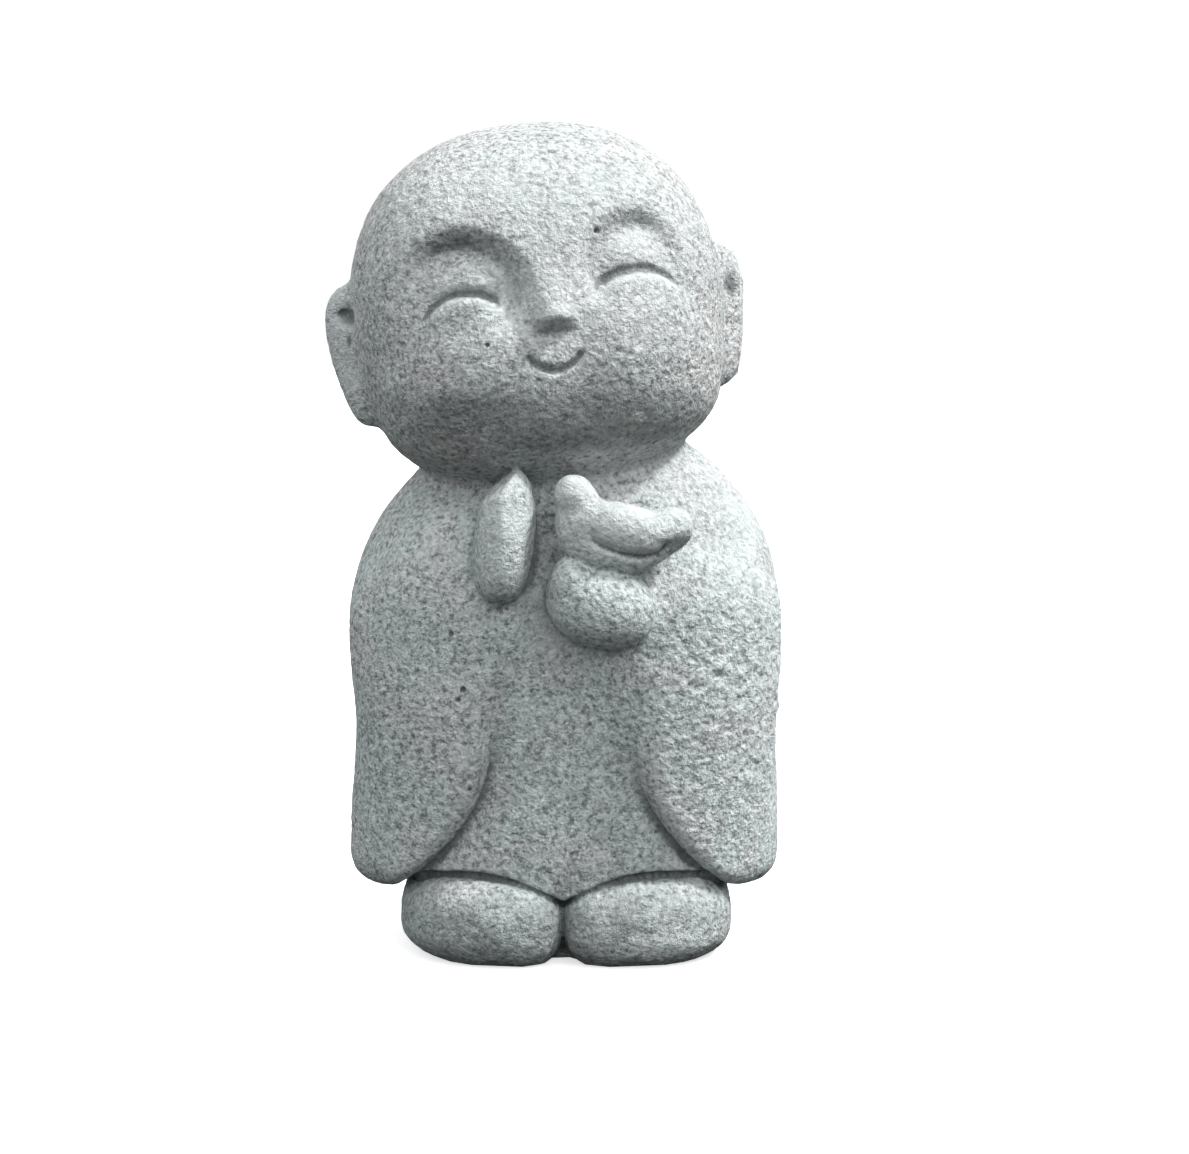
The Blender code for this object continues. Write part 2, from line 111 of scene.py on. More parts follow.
DUG_PLACES = (  # the same, for how deep the cuts in the ears and the largest holes go, and for painted shade in them
    ((-105.2, -22.5, 308.8), (2.7, 6.0, 1.4), 2.0),
    ((-105.0, -23.0, 307.8), (5.5, 6.0, 4.5), 0.5),
    ((-102.1, -25.2, 295.3), (1.2, 6.0, 3.6), 0.9),
    ((82.6, 0.2, 321.8), (2.1, 6.0, 4.2), 4.0),
    ((81.3, -2.2, 309.0), (1.3, 6.0, 5.0), 0.8),
    ((16.2, -70.3, 346.9), (1.2, 6.0, 1.2), 2.6),
    ((-33.6, -85.4, 295.5), (1.0, 6.0, 1.0), 2.2),
    ((-46.5, -67.6, 134.2), (1.2, 6.0, 1.4), 2.6),
    ((-48.9, -67.6, 129.5), (1.1, 6.0, 1.1), 2.4),
    ((-52.0, -67.0, 160.6), (1.0, 6.0, 1.2), 2.4),
    ((-43.6, -66.5, 86.3), (1.0, 6.0, 1.1), 2.0),
)
PAINTED_LIGHT_AND_STAIN_PLACES = (  # the same, for painted light and, below zero, painted shade; the pale spot on the right foot is a real stain
    ((8, -70, 336), (92, 48, 54), 0.40),
    ((-52, -55, 364), (30, 36, 16), 0.25),
    ((-42, -75, 341), (22, 24, 8), -0.95),
    ((75, -20, 225), (42, 60, 46), 0.36),
    ((96, -30, 130), (34, 60, 90), 0.34),
    ((22, -80, 216), (38, 24, 20), 0.55),
    ((-28, -85, 208), (16, 20, 30), 0.45),
    ((-104, -25, 298), (18, 24, 46), 0.45),
    ((-4, -60, 168), (18, 24, 26), 0.45),
    ((52, -72, 13), (25, 26, 8), 0.95),
    ((0, -60, 262), (85, 45, 16), -1.15),
    ((-35, -50, 240), (34, 30, 9), -0.30),
    ((-10, -50, 60), (100, 80, 90), -0.25),
    ((0, -60, 4), (110, 70, 42), -0.45),
)
PAINTED_LIGHT_BREAKUP = (0.5, 9.0, 8)  # strength, size and seed of what breaks those places up

# ---------------------------------------------------------------- driving values of the granite
SPECK, GRAIN, FLECK = 3.0, 1.3, 1.4  # sizes of the cloudy specks, the grains and the flecks among them
CLOUD_ROUGHNESS = 0.65
SPECK_SHADES = (  # cloud's strength and how bright the stone is there
    (0.30, 0.34),
    (0.41, 0.73),
    (0.50, 1.0),
    (0.60, 1.14),
    (0.72, 1.28),
)
GRAIN_CONTRAST = 0.34  # between the brightest grain and the darkest
WOBBLE_SIZE, WOBBLE_REACH = 0.9, 1.3  # how finely and how far the edges of the grains are bent
COOL_GREY, WARM_GREY = (0.478, 0.530, 0.520, 1.0), (0.525, 0.530, 0.525, 1.0)
# The stone warms from WARM_HEIGHTS upwards: partly its own tone, partly painted light, the cooler lower body
# standing for its cool shade.
WARM_HEIGHTS, WARM_WITH_HEIGHT = (190.0, 270.0), 0.5
WARM_CLOUD, WARM_CLOUD_EDGES, WARM_WITH_CLOUD = 34.0, (0.42, 0.62), 0.7
# Mica and feldspar: colour, the random numbers between which a fleck turns to it, and how well it covers
MICA, MICA_FLECKS, MICA_COVER = (0.09, 0.095, 0.10, 1.0), (0.13, 0.05), 0.5
FELDSPAR, FELDSPAR_FLECKS, FELDSPAR_COVER = (0.72, 0.74, 0.74, 1.0), (0.90, 0.96), 0.4
# Dark colour: painted shade, with some dirt, in hollows and on listed places; pale colour: painted light and
# highlight, with some wear and one real stain.
PAINTED_SHADE_AND_DIRT, PAINTED_LIGHT_AND_WEAR = (0.11, 0.125, 0.12, 1.0), (0.62, 0.655, 0.655, 1.0)
HOLLOW_SHADE_DEPTHS, SHADE_AND_DIRT_IN_HOLLOWS = (0.25, 1.5), 0.7  # millimetres below the stone round it: painted shade starts, covers
PAINTED_SHADE_IN_PLACES = 0.6
# Painted highlight, with some wear, pales the stone on ridges.
RIDGE_HIGHLIGHT_DEPTHS, HIGHLIGHT_AND_WEAR_ON_RIDGES = (-0.1, -0.7), 0.25  # the same, below zero, for ridges
CRUSHED = 2.9  # size of the crushed stone in the skin
SKIN_DEPTH = 2.4  # height of the bump that stands for it
SKIN_SHARES = 0.75, 0.5, 0.12, 0.18  # of crushed stone, specks, grains, and mica, which lies lower
ROUGH, FELDSPAR_GLINT, MICA_GLINT = 0.94, 0.25, 0.2  # roughness, and what each takes off it

# ---------------------------------------------------------------- driving values of the studio
LAMPS = (  # name, height and turn from the front to the right in degrees, strength, softness in degrees
    ("key", 52, 80, 3.4, 9),
    ("front", 45, 30, 0.6, 30),
    ("low", 18, -5, 0.2, 60),
)
SKY_FILL, GROUND_FILL, SKY_BLEND = 1.05, 0.0, 0.3  # strengths, and how far from level they blend
SKY_TINT = (0.95, 0.98, 1.0, 1.0)
STUDIO_REACH = 8.0  # metres from the figure to the surround
TABLE_GREY, TABLE_GLOW, PAPER_ROUGHNESS = 0.86, 0.6, 0.95
WHITE = (1.0, 1.0, 1.0, 1.0)
VIEW_MIDDLE = (15.04, 0.0, 179.2)
VIEW_DISTANCE, VIEW_RISE, LENS, SENSOR = 1200.0, math.radians(7.0), 73.66, 36.0

# ---------------------------------------------------------------- driving sizes of the form
# Robe: a dome of shoulders on a straight, slightly waisted skirt
ROBE_HALF_WIDTH = 105.6
ROBE_HALF_DEPTH = 62.0
SHOULDER_LINE = 160.0
SHOULDER_RISE = 101.5
SHOULDER_LEAN = 0.035  # the figure's left shoulder is carried a little higher
WAIST_HEIGHT, WAIST_REACH = 112.0, 36.0
WAIST_PULLS = (0.036, 0.017)  # on the figure's right and on its left

# Hem: an arch over each foot, meeting in a point between them
HEM_ARCH_TOP = 44.5
HEM_ARCH_REACH = 45.0  # from the middle to the top of an arch
HEM_POINT = 30.5
HEM_OUTER_FALL = 0.0030
HEM_BACK = 42.0
HEM_TURN = -20.0, 20.0  # how far forward the back hem becomes the front one
HEM_ROUND, HEM_CORNER_ROUND, HEM_CORNER = 3.0, 22.0, (62.0, 100.0)
HEM_SHADE, HEM_SHADE_DROP = (1.8, 2.3), 1.5  # half width and depth of the cut over the feet, and its drop
HEM_SHADE_TURN = 20.0, 40.0  # how far forward that cut begins

# Sleeves: their front edges hang from the wrists and sweep out to the hem's corners
SLEEVE_DIP, SLEEVE_DIP_START = 7.0, (66.0, 82.0)
SLEEVE_EDGE = 34.0
SLEEVE_SWEEP, SLEEVE_SWEEP_CURVE = 39.0, 2.15
SLEEVE_SWEEP_TOP, SLEEVE_SWEEP_FOOT = 110.0, 40.0
SLEEVE_PROUD = 9.0
SLEEVE_FADE = 120.0, 185.0  # heights between which the edge dies into the robe
SLEEVE_SOFT = 95.0, 160.0  # heights between which it grows softer
SLEEVE_TURN = -25.0, 30.0  # how far forward the sleeves begin to stand proud
SLEEVE_ROUND = 14.0  # width over which the edge rolls up to its full height
SLEEVE_CREASE = (5.2, 3.4)  # half width and depth of the cut that the edge rises from
CREASE_AHEAD, SLEEVE_WIDENS = 2.0, 2.0  # how far before the edge it lies, and how much wider a soft edge rolls
CREASE_FADE = 34.0, 50.0

# Feet
FOOT_SPREAD = 40.3
FOOT_RADII = (41.5, 60.0, 30.0)
FOOT_DROP = 27.0
FOOT_SQUARENESS = (5.0, 2.6)  # nearly square in plan, so that only a narrow cleft parts them
FOOT_FORWARD = -14.0

# Head: its own frame, tilted to the figure's right and turned to its left
HEAD_CENTRE = (-13.0, -4.0, 310.3)
HEAD_TILT, HEAD_TURN = math.radians(6.5), math.radians(7.0)
HEAD_RADII = (89.7, 77.0, 89.0)
FACE_TURN = 10.0, 35.0  # how far forward of the head's middle the face begins

# Fillets: the width over which a join or a cut is softened
ARM_FILLET, NECK_FILLET, HAND_FILLET, BIRD_FILLET, PERCH_FILLET = 18.0, 5.0, 3.5, 4.0, 1.5
HEM_FILLET, CLEFT_FILLET, STUMP_FILLET, TOE_FILLET = 2.5, 1.0, 3.0, 4.0
JOWL_FILLET, LOBE_FILLET, EAR_FILLET, EAR_HOLE_FILLET = 12.0, 6.0, 5.0, 1.5
PALM_FILLET, WRIST_FILLET, FACET_FILLET = 4.0, 3.0, 1.5
WING_FILLET, WING_FILLET_LOST = 5.0, 4.4  # the second is lost along the wing's lower edge


def axes_at(origin, turn=(0.0, 0.0, 0.0), parent=None):
    """An origin and a turn about X, Y and Z in radians, as a matrix inside its parent's."""
    own = Matrix.Translation(Vector(origin)) @ Euler(turn).to_matrix().to_4x4()
    return parent @ own if parent else own


HEAD = axes_at(HEAD_CENTRE) @ Matrix.Rotation(-HEAD_TILT, 4, "Y") @ Matrix.Rotation(HEAD_TURN, 4, "Z")


# ---------------------------------------------------------------- measuring
def local(points, place):
    """The points in the axes of a frame."""
    return (points - np.array(place.translation, np.float32)) @ np.array(place.to_3x3(), np.float32)


def smooth_step(value, start, end):
    """0 before start and 1 after end, with no kink between."""
    t = np.clip((value - start) / (end - start), 0.0, 1.0)
    return t * t * (3.0 - 2.0 * t)


def join(first, second, blend):
    """The two solids as one, with a fillet about half as wide as blend between them."""
    near = np.clip(blend - np.abs(first - second), 0.0, None) / blend
    return np.minimum(first, second) - near * near * blend / 4.0


def cut(solid, tool, blend):
    """The solid less the tool, with the edge between them softened."""
    return -join(-solid, tool, blend)


def groove(offset, cut_size):
    """A rounded chisel cut of that half width and depth."""
    half_width, depth = cut_size
    return depth * np.exp(-((offset / half_width) ** 2))


class Mass:
    """A rounded mass of stone about a centre.

    Its plan is |x/a|^n + |y/b|^n = 1, and it closes above and below as plan^m + |z/c|^m = 1.
    drop is c below the centre, where that differs; a drop of math.inf goes straight down.
    """

    def __init__(self, centre, radii, turn=(0, 0, 0), power=(2.0, 2.0), parent=None, drop=None):
        degrees = [math.radians(angle) for angle in turn]
        self.place = axes_at(centre, degrees, parent)
        self.radii = radii
        self.power = power
        self.drop = radii[2] if drop is None else drop

    def distance(self, points):
        """Distance from the surface, negative inside, worked out for the points within REACH of the mass."""
        q = local(points, self.place)
        a, b, c = self.radii
        close = (np.abs(q) < np.array((a, b, max(c, self.drop))) + REACH).all(axis=1)
        away = np.full(len(q), REACH)
        away[close] = np.minimum(self.distance_at(q[close]), REACH)
        return away

    def distance_at(self, q):
        """(k - 1) over the slope of k, where k is how many times larger the mass through q would be."""
        a, b, c = self.radii
        n, m = self.power
        tiny = 1e-6
        x, y = np.abs(q[:, 0]) / a + tiny, np.abs(q[:, 1]) / b + tiny
        rise = np.where(q[:, 2] > 0.0, c, self.drop)
        z = np.abs(q[:, 2]) / rise + tiny
        plan = (x**n + y**n) ** (1.0 / n)
        k = (plan**m + z**m) ** (1.0 / m)
        sideways = k ** (1.0 - m) * plan ** (m - n)
        slope = np.sqrt(
            (sideways * x ** (n - 1.0) / a) ** 2
            + (sideways * y ** (n - 1.0) / b) ** 2
            + (k ** (1.0 - m) * z ** (m - 1.0) / rise) ** 2
        )
        return (k - 1.0) / slope


# ---------------------------------------------------------------- robe and feet
ROBE = Mass(
    (0, 0, SHOULDER_LINE),
    (ROBE_HALF_WIDTH, ROBE_HALF_DEPTH, SHOULDER_RISE),
    power=(2.4, 2.0),
    drop=math.inf,
)
FOREARMS = [
    Mass((-62, -42, 163), (38, 15, 24), turn=(0, 0, -26), drop=75),
    Mass((62, -43, 160), (42, 17, 28), turn=(0, 0, 26), drop=90),
]
WRISTS = [
    Mass((-50, -48, 183), (28, 13, 28), turn=(0, 0, -16), drop=50),
    Mass((50, -50, 170), (28, 14, 20), turn=(0, 0, 14), drop=60),
]
FEET = [
    Mass((side * FOOT_SPREAD, FOOT_FORWARD, 18), FOOT_RADII, power=FOOT_SQUARENESS, drop=FOOT_DROP)
    for side in (-1, 1)
]
FEET_OUTLINE = Mass((2.5, FOOT_FORWARD, 18), (83, 63, 34), power=(2.8, 2.6), drop=FOOT_DROP)
BETWEEN_FEET = Mass((0, FOOT_FORWARD + 6, 17), (70, 45, 27), power=(3.0, 2.6))


def hem_height(x, y):
    """Height of the hem at each x: two arches that meet in a point, with the sleeves lower outside them."""
    off = np.abs(x) - HEM_ARCH_REACH
    inner = (HEM_ARCH_TOP - HEM_POINT) / HEM_ARCH_REACH**2
    arches = HEM_ARCH_TOP - np.where(off < 0.0, inner, HEM_OUTER_FALL) * off**2
    in_front = smooth_step(-y, *HEM_TURN)
    sleeves = SLEEVE_DIP * smooth_step(np.abs(x), *SLEEVE_DIP_START)
    return HEM_BACK + (arches - HEM_BACK) * in_front - sleeves


def sleeve_relief(x, y, z):
    """How far a sleeve stands proud of the robe: a quarter round behind its front edge, which sweeps out
    with a power of the depth below the sweep's top, and a crease in front of it."""
    lower = np.clip((SLEEVE_SWEEP_TOP - z) / (SLEEVE_SWEEP_TOP - SLEEVE_SWEEP_FOOT), 0.0, None)
    behind = np.abs(x) - (SLEEVE_EDGE + SLEEVE_SWEEP * lower**SLEEVE_SWEEP_CURVE)
    soft = smooth_step(z, *SLEEVE_SOFT)
    roll = 1.0 - np.clip(behind / (SLEEVE_ROUND * (1.0 + SLEEVE_WIDENS * soft)), 0.0, 1.0)
    height = SLEEVE_PROUD * (1.0 - smooth_step(z, *SLEEVE_FADE))
    crease = groove(behind + CREASE_AHEAD, SLEEVE_CREASE) * (1.0 - soft) * smooth_step(z, *CREASE_FADE)
    return (height * (1.0 - roll**2) ** (0.5 + soft) - crease) * smooth_step(-y, *SLEEVE_TURN)


def robe(points):
    """The robe's mass, read at points pulled in at the waist, out at the sleeves and askew at the shoulders,
    joined with the forearms and cut off at the hem."""
    x, y, z = points.T
    q = local(points, ROBE.place)
    pull = np.where(x < 0.0, *WAIST_PULLS)
    q[:, 0] *= 1.0 + pull * np.exp(-(((z - WAIST_HEIGHT) / WAIST_REACH) ** 2))
    q[:, 1] += sleeve_relief(x, y, z)
    q[:, 2] = np.maximum(q[:, 2] - SHOULDER_LEAN * x, 0.0)
    cloth = ROBE.distance_at(q)
    for bulge in (*FOREARMS, *WRISTS):
        cloth = join(cloth, bulge.distance(points), ARM_FILLET)
    rounding = HEM_ROUND + (HEM_CORNER_ROUND - HEM_ROUND) * smooth_step(np.abs(x), *HEM_CORNER)
    return cut(cloth, z - hem_height(x, y), rounding)


def feet(points):
    """Two blocks side by side on a common stump, rounded off together at their outer corners, with a cut
    that follows the hem just below it."""
    left, right = (foot.distance(points) for foot in FEET)
    pair = join(join(left, right, CLEFT_FILLET), BETWEEN_FEET.distance(points), STUMP_FILLET)
    pair = cut(pair, -FEET_OUTLINE.distance(points), TOE_FILLET)
    x, y, z = points.T
    shade = groove(z - hem_height(x, y) + HEM_SHADE_DROP, HEM_SHADE)
    return pair + shade * smooth_step(-y, *HEM_SHADE_TURN)


# ---------------------------------------------------------------- head
SKULL = Mass((0, 0, 0), HEAD_RADII, power=(2.3, 2.28), parent=HEAD)
JOWL = Mass((0, -22, -38), (79, 53, 35), power=(2.4, 2.8), parent=HEAD)
BROWS = (  # across and up to the middle, radius and depth, on the figure's right and on its left
    (37.5, 10.0, 31.0, 10.4),
    (42.5, 13.0, 27.0, 8.0),
)
SOCKET_EDGE = -4.0, 11.0  # how far inside that circle the stone begins to drop, and has dropped
SOCKET_DEEPEST, SOCKET_EASE = 5.0, 14.0  # how far inside it begins to rise again, and over what length
SOCKET_RISE, SOCKET_TEMPLE = (-24.0, 4.0), (6.0, 32.0)  # it comes in upwards, and dies out at the temple
EYE_SPREADS, EYE_HALF_LENGTHS = (40.4, 45.0), (15.8, 18.2)  # on the figure's right and on its left
EYE_RISE, EYE_SLANT, EYE_ARCH = 5.2, math.radians(-9.5), 6.8
EYE_WALL, EYE_EDGE, EYE_DEPTH, EYE_LIP = 3.2, 1.3, 3.6, 1.6  # the cut is gentle above, steep below
EYE_NARROWS, EYE_SHALLOWS = 0.6, 0.65  # share of its width and of its depth that it loses outwards
EYE_LOSS_START = -2.0  # how far along the eye that loss begins
EYE_LIP_RISE, EYE_LIP_FADE = 2.2, 9.0  # lengths over which the stone below the cut comes up and dies away
EYE_END, LIP_END, CHEEK_END = 0.6, 1.25, 1.5  # where the eye's ends begin and end, in its half lengths
CHEEK_MIDDLE, CHEEK_RADIUS, CHEEK_SWELL = (41.0, -15.0), 27.0, 4.6
CHEEK_EDGE, CHEEK_EDGE_SOFTENS = (-1.0, 5.0), 8.0  # below the cut, and how much wider past the eye's ends
NOSE_TOP, NOSE_TIP, NOSE_FOOT = 28.0, -3.5, -10.0
NOSE_HEIGHT, NOSE_BREADTH, NOSE_SHIFT = 9.2, 8.4, 2.0
MOUTH_CENTRE, MOUTH_RADIUS = (0.0, -13.8), 13.8
MOUTH_MIDDLE, MOUTH_REACH = math.radians(-93), math.radians(58)
MOUTH_GROOVE, LIP_SWELL = (1.5, 2.7), 1.2
LIPS_DROP, LIPS_RADII = 22.0, (14.0, 10.0)  # how far down the lips' middle lies, and their size
FACE_SHIFT, FACE_SLANT = -1.8, math.radians(1.8)  # the features are set a little askew on the skull


def arc_offset(u, v, centre, radius, middle, reach):
    """Distance in the face's plane from an arc that reaches that angle either side of its middle."""
    du, dv = u - centre[0], v - centre[1]
    angle = np.arctan2(dv, du) - middle
    angle = (angle + math.pi) % (2.0 * math.pi) - math.pi
    held = np.clip(angle, -reach, reach) + middle
    return np.hypot(du - radius * np.cos(held), dv - radius * np.sin(held))


def brow_relief(u, v):
    """Sockets: the stone drops by a smooth step just inside the circle of the brow and the side of the nose,
    and eases back towards its middle by e^-distance."""
    across, up, radius, depth = (np.where(u < 0.0, right, left) for right, left in zip(*BROWS))
    du, dv = np.abs(u) - across, v - up
    inward = radius - np.hypot(du, dv)
    upper = smooth_step(dv, *SOCKET_RISE)
    temple = 1.0 - smooth_step(du, *SOCKET_TEMPLE)
    past = np.clip(inward - SOCKET_DEEPEST, 0.0, None)
    floor = smooth_step(inward, *SOCKET_EDGE) * np.exp(-past / SOCKET_EASE)
    return -depth * floor * upper * temple


def eye_relief(u, v):
    """A closed eye's cut along an arc, shallower outwards, over a cheek that swells as e^-distance^3."""
    side = np.abs(u)
    spread = np.where(u < 0.0, *EYE_SPREADS)
    half_length = np.where(u < 0.0, *EYE_HALF_LENGTHS)
    radius = (half_length**2 + EYE_ARCH**2) / (2.0 * EYE_ARCH)
    reach = np.arcsin(half_length / radius)
    du, dv = side - spread, v - EYE_RISE
    along = du * math.cos(EYE_SLANT) + dv * math.sin(EYE_SLANT)
    above = dv * math.cos(EYE_SLANT) - du * math.sin(EYE_SLANT)
    sink = EYE_ARCH - radius
    cut_line = arc_offset(along, above, (0.0, sink), radius, math.pi / 2.0, reach)
    half_width = np.where(np.hypot(along, above - sink) > radius, EYE_WALL, EYE_EDGE)
    outer = smooth_step(along, EYE_LOSS_START, half_length)
    lid_cut = (half_width * (1.0 - EYE_NARROWS * outer), EYE_DEPTH * (1.0 - EYE_SHALLOWS * outer))
    lid = groove(cut_line, lid_cut)
    below = EYE_ARCH * (1.0 - (along / half_length) ** 2) - above
    end, reached = EYE_END * half_length, np.abs(along)
    softer = CHEEK_EDGE_SOFTENS * smooth_step(reached, end, CHEEK_END * half_length)
    between_ends = 1.0 - smooth_step(reached, end, LIP_END * half_length)
    fade = np.exp(-np.clip(below, 0.0, None) / EYE_LIP_FADE)
    lip = EYE_LIP * between_ends * smooth_step(below, 0.0, EYE_LIP_RISE) * fade
    from_cheek = np.hypot(side - CHEEK_MIDDLE[0], v - CHEEK_MIDDLE[1]) / CHEEK_RADIUS
    edge = smooth_step(below, CHEEK_EDGE[0] - softer, CHEEK_EDGE[1] + softer)
    return CHEEK_SWELL * np.exp(-(from_cheek**3)) * edge + lip - lid


def nose_relief(u, v):
    """A wedge that rises from between the brows by a power of the run and drops straight to its foot."""
    run = np.clip((NOSE_TOP - v) / (NOSE_TOP - NOSE_TIP), 0.0, 1.0)
    foot = np.clip((v - NOSE_FOOT) / (NOSE_TIP - NOSE_FOOT), 0.0, 1.0)
    return NOSE_HEIGHT * run**1.8 * foot * np.exp(-np.abs((u - NOSE_SHIFT) / NOSE_BREADTH) ** 2.6)


def mouth_relief(u, v):
    """One smiling cut along an arc, across a slight swelling of the lips, e^-distance^2."""
    cut_line = arc_offset(u, v, MOUTH_CENTRE, MOUTH_RADIUS, MOUTH_MIDDLE, MOUTH_REACH)
    across, up = LIPS_RADII
    lips = LIP_SWELL * np.exp(-((u / across) ** 2 + ((v + LIPS_DROP) / up) ** 2))
    return lips - groove(cut_line, MOUTH_GROOVE)


def face_relief(u, v):
    """Height of the carved face over the smooth skull, over the face's own right-left and up axes."""
    lean, rise = math.sin(FACE_SLANT), math.cos(FACE_SLANT)
    u, v = (u - FACE_SHIFT) * rise + v * lean, v * rise - (u - FACE_SHIFT) * lean
    return brow_relief(u, v) + eye_relief(u, v) + nose_relief(u, v) + mouth_relief(u, v)


EAR_HOLES = {-1: ((-93, -12, 7), (5, 5, 6)), 1: ((95, -11, 2), (4, 5, 8))}  # centre and radii


def ear_masses(side):
    """The ear's flap, its hanging lobe and the hole cut into its front, on one side."""
    sweep = side * 25
    flap = Mass((side * 84.2, -4, -9), (18, 9, 32), turn=(0, side * 8, sweep), power=(2.6, 2.6), parent=HEAD)
    lobe_turn = (0, side * 6, sweep)
    lobe = Mass((side * 83.5, -5, -33), (11, 9, 13), turn=lobe_turn, power=(2.8, 2.8), parent=HEAD)
    hole = Mass(*EAR_HOLES[side], turn=(0, side * 10, sweep), parent=HEAD)
    return flap, lobe, hole


EARS = {side: ear_masses(side) for side in (-1, 1)}


def head(points):
    """The skull joined with the jowl, raised by the face's relief in front, with both ears."""
    q = local(points, HEAD)
    front = smooth_step(-q[:, 1], *FACE_TURN)
    skull = join(SKULL.distance_at(q), JOWL.distance(points), JOWL_FILLET)
    skull = skull - face_relief(q[:, 0], q[:, 2]) * front
    for flap, lobe, hole in EARS.values():
        ear = join(flap.distance(points), lobe.distance(points), LOBE_FILLET)
        skull = cut(join(skull, ear, EAR_FILLET), hole.distance(points), EAR_HOLE_FILLET)
    return skull


# ---------------------------------------------------------------- hands and bird
RAISED_HAND = Mass((-26.8, -66, 206.0), (13.8, 21, 32.0), turn=(0, 6, 0), power=(1.8, 2.5))
RAISED_FACETS = (  # a point on each flat and the way it faces: palm's edge, tip, palm and heel
    ((-17.5, -82.5, 206), (0.60, -0.78, 0.16)),
    ((-28, -66, 231.5), (-0.68, -0.10, 0.73)),
    ((-11.5, -80, 206), (0.93, -0.36, 0.05)),
    ((-27, -82, 180), (-0.10, -0.42, -0.90)),
)
CUPPED_HAND = Mass((18, -69, 174.5), (26, 21, 20), turn=(0, 18, 0), power=(2.1, 2.1))
CUPPED_FINGERS = Mass((5, -71, 187), (10, 14, 12), turn=(0, 20, 0))

BIRD_HEAD = Mass((5.5, -74, 227), (9.2, 9.5, 8.8))
BIRD_BREAST = Mass((9, -71, 213), (12, 12, 17))
BIRD_BODY = Mass((25, -71, 205), (25, 14, 16.5))
BIRD_TAIL = Mass((43, -72, 206.5), (19, 11, 11.5), turn=(0, -28, 0), power=(2.3, 2.3))
TAIL_UNDERSIDE = (48, -78, 203), (0.30, -0.62, -0.72)  # a point on the flat and the way it faces
BIRD_WING = Mass((28.5, -79, 211.5), (20, 9, 11), turn=(0, 17, 0), power=(2.0, 2.2))
WING_LINE, WING_LINE_GAP = (1.6, 2.6), 0.6  # half width and depth of the cut under the wing, and its gap
WING_UNDERSIDE, WING_LINE_START = (-4.0, 2.0), (-17.0, -9.0)  # above and along the wing, where it fades


def beyond(points, place, facing):
    """How far the points lie beyond a flat through a place: their offset from it along the way it faces."""
    return (points - np.array(place)) @ np.array(Vector(facing).normalized())


def raised_hand(points):
    """The right hand, held upright like a blade, with flats along its edge, tip, palm and heel."""
    blade = RAISED_HAND.distance(points)
    for facet in RAISED_FACETS:
        blade = cut(blade, -beyond(points, *facet), FACET_FILLET)
    return blade


def bird(points):
    """Body, tail, breast and head joined softly, and a wing that a groove parts from them below."""
    plumage = BIRD_BODY.distance(points)
    tail = cut(BIRD_TAIL.distance(points), -beyond(points, *TAIL_UNDERSIDE), FACET_FILLET)
    for part in (tail, BIRD_BREAST.distance(points), BIRD_HEAD.distance(points)):
        plumage = join(plumage, part, BIRD_FILLET)
    wing = BIRD_WING.distance(points)
    along, _, above = local(points, BIRD_WING.place).T
    under = (1.0 - smooth_step(above, *WING_UNDERSIDE)) * smooth_step(along, *WING_LINE_START)
    plumage = plumage + groove(wing - WING_LINE_GAP, WING_LINE) * under
    return join(plumage, wing, WING_FILLET - WING_FILLET_LOST * under)


def cupped_hand(points):
    """The left hand's palm joined with its fingers."""
    return join(CUPPED_HAND.distance(points), CUPPED_FINGERS.distance(points), PALM_FILLET)


# ---------------------------------------------------------------- the whole stone
def within(space, shape, points):
    """The shape's distance for the points inside that space, and REACH for the others."""
    low, high = np.array(space, np.float32)
    inside = ((points > low) & (points < high)).all(axis=1)
    away = np.full(len(points), REACH, np.float32)
    away[inside] = np.minimum(shape(points[inside]), REACH)
    return away


def stone(points):
    """Distance of each point from the smooth finished surface, negative in the stone."""
    solid = join(within(ROBE_SPACE, robe, points), within(FEET_SPACE, feet, points), HEM_FILLET)
    solid = join(solid, within(HEAD_SPACE, head, points), NECK_FILLET)
    raised, cupped = (within(HANDS_SPACE, hand, points) for hand in (raised_hand, cupped_hand))
    solid = join(solid, join(raised, cupped, WRIST_FILLET), HAND_FILLET)
    return join(solid, within(HANDS_SPACE, bird, points), PERCH_FILLET)


# ---------------------------------------------------------------- hammered relief
def noise(points, size, seed):
    """A smooth random field from -1 to 1: one random number at each corner of a cubic grid of that size,
    eased between the eight corners round a point. The grid repeats after CORNERS steps."""
    numbers = np.random.default_rng(seed).uniform(-1.0, 1.0, (CORNERS,) * 3)
    at = points / size
    cell = np.floor(at).astype(int)
    part = at - cell
    part = part * part * (3.0 - 2.0 * part)
    total = np.zeros(len(points))
    for corner in np.ndindex(2, 2, 2):
        share = np.where(corner, part, 1.0 - part).prod(axis=1)
        i, j, k = ((cell + corner) % CORNERS).T
        total += share * numbers[i, j, k]
    return total


def pits(points, spacing, widths, share, seed):
    """Round-bottomed pits, 1 at the middle and 0 at the rim: 1 - (r / R)^2, at a random place in that share
    of the cells of a cubic grid, each with its own radius R between the widths."""
    random = np.random.default_rng(seed)
    middles = random.uniform(0.0, 1.0, (CORNERS,) * 3 + (3,))
    radii = random.uniform(*widths, (CORNERS,) * 3)
    radii[random.uniform(0.0, 1.0, radii.shape) > share] = 1e-6
    at = points / spacing
    cell = np.floor(at).astype(int)
    deepest = np.zeros(len(points))
    for step in np.ndindex(3, 3, 3):
        there = cell + step - 1
        i, j, k = (there % CORNERS).T
        away = np.linalg.norm(at - there - middles[i, j, k], axis=1) * spacing
        deepest = np.maximum(deepest, 1.0 - (away / radii[i, j, k]) ** 2)
    return deepest


